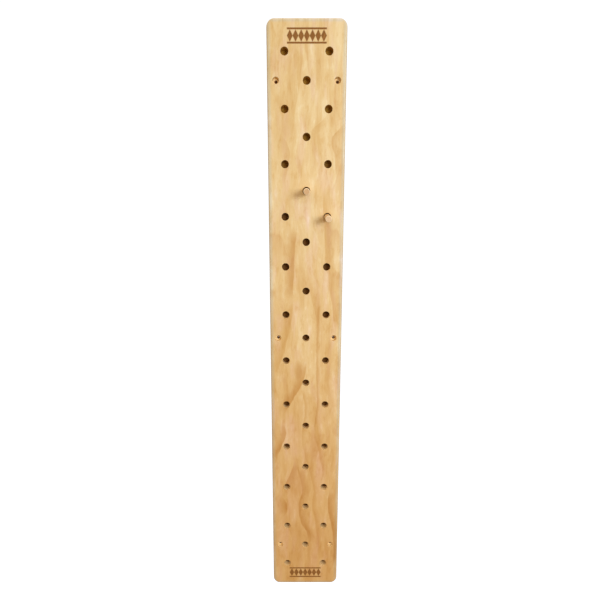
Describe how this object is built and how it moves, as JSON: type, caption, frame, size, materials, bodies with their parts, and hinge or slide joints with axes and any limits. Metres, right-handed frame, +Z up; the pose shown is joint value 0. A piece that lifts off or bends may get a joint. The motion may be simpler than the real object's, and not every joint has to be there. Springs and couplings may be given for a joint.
{
  "type": "climbing peg board",
  "caption": "Tall wall-mounted plywood board with columns of blind round peg holes, recessed screw holes, and loose wooden pegs that pull out.",
  "frame": {"origin": "centre of the board's flat back face, which lies on the wall", "axes": "+Z up along the board's length, +Y into the wall, so the front with the holes and pegs faces -Y; +X is to the right for a person looking at the front"},
  "size_m": [0.3, 0.1263, 2.4],
  "materials": {
    "plywood": "clear satin lacquer",
    "dowel": "fine sanded, unfinished"
  },
  "bodies": {
    "board": {"board": "plywood"},
    "peg_centre": {"peg_centre": "dowel"},
    "peg_right": {"peg_right": "dowel"}
  },
  "joints": [
    {"name": "peg_centre_slide", "type": "slide", "parent": "board", "child": "peg_centre", "axis": [0, -0.9903, -0.1392], "range_m": [0, 0.1]},
    {"name": "peg_right_slide", "type": "slide", "parent": "board", "child": "peg_right", "axis": [0, -0.9903, -0.1392], "range_m": [0, 0.1]}
  ]
}
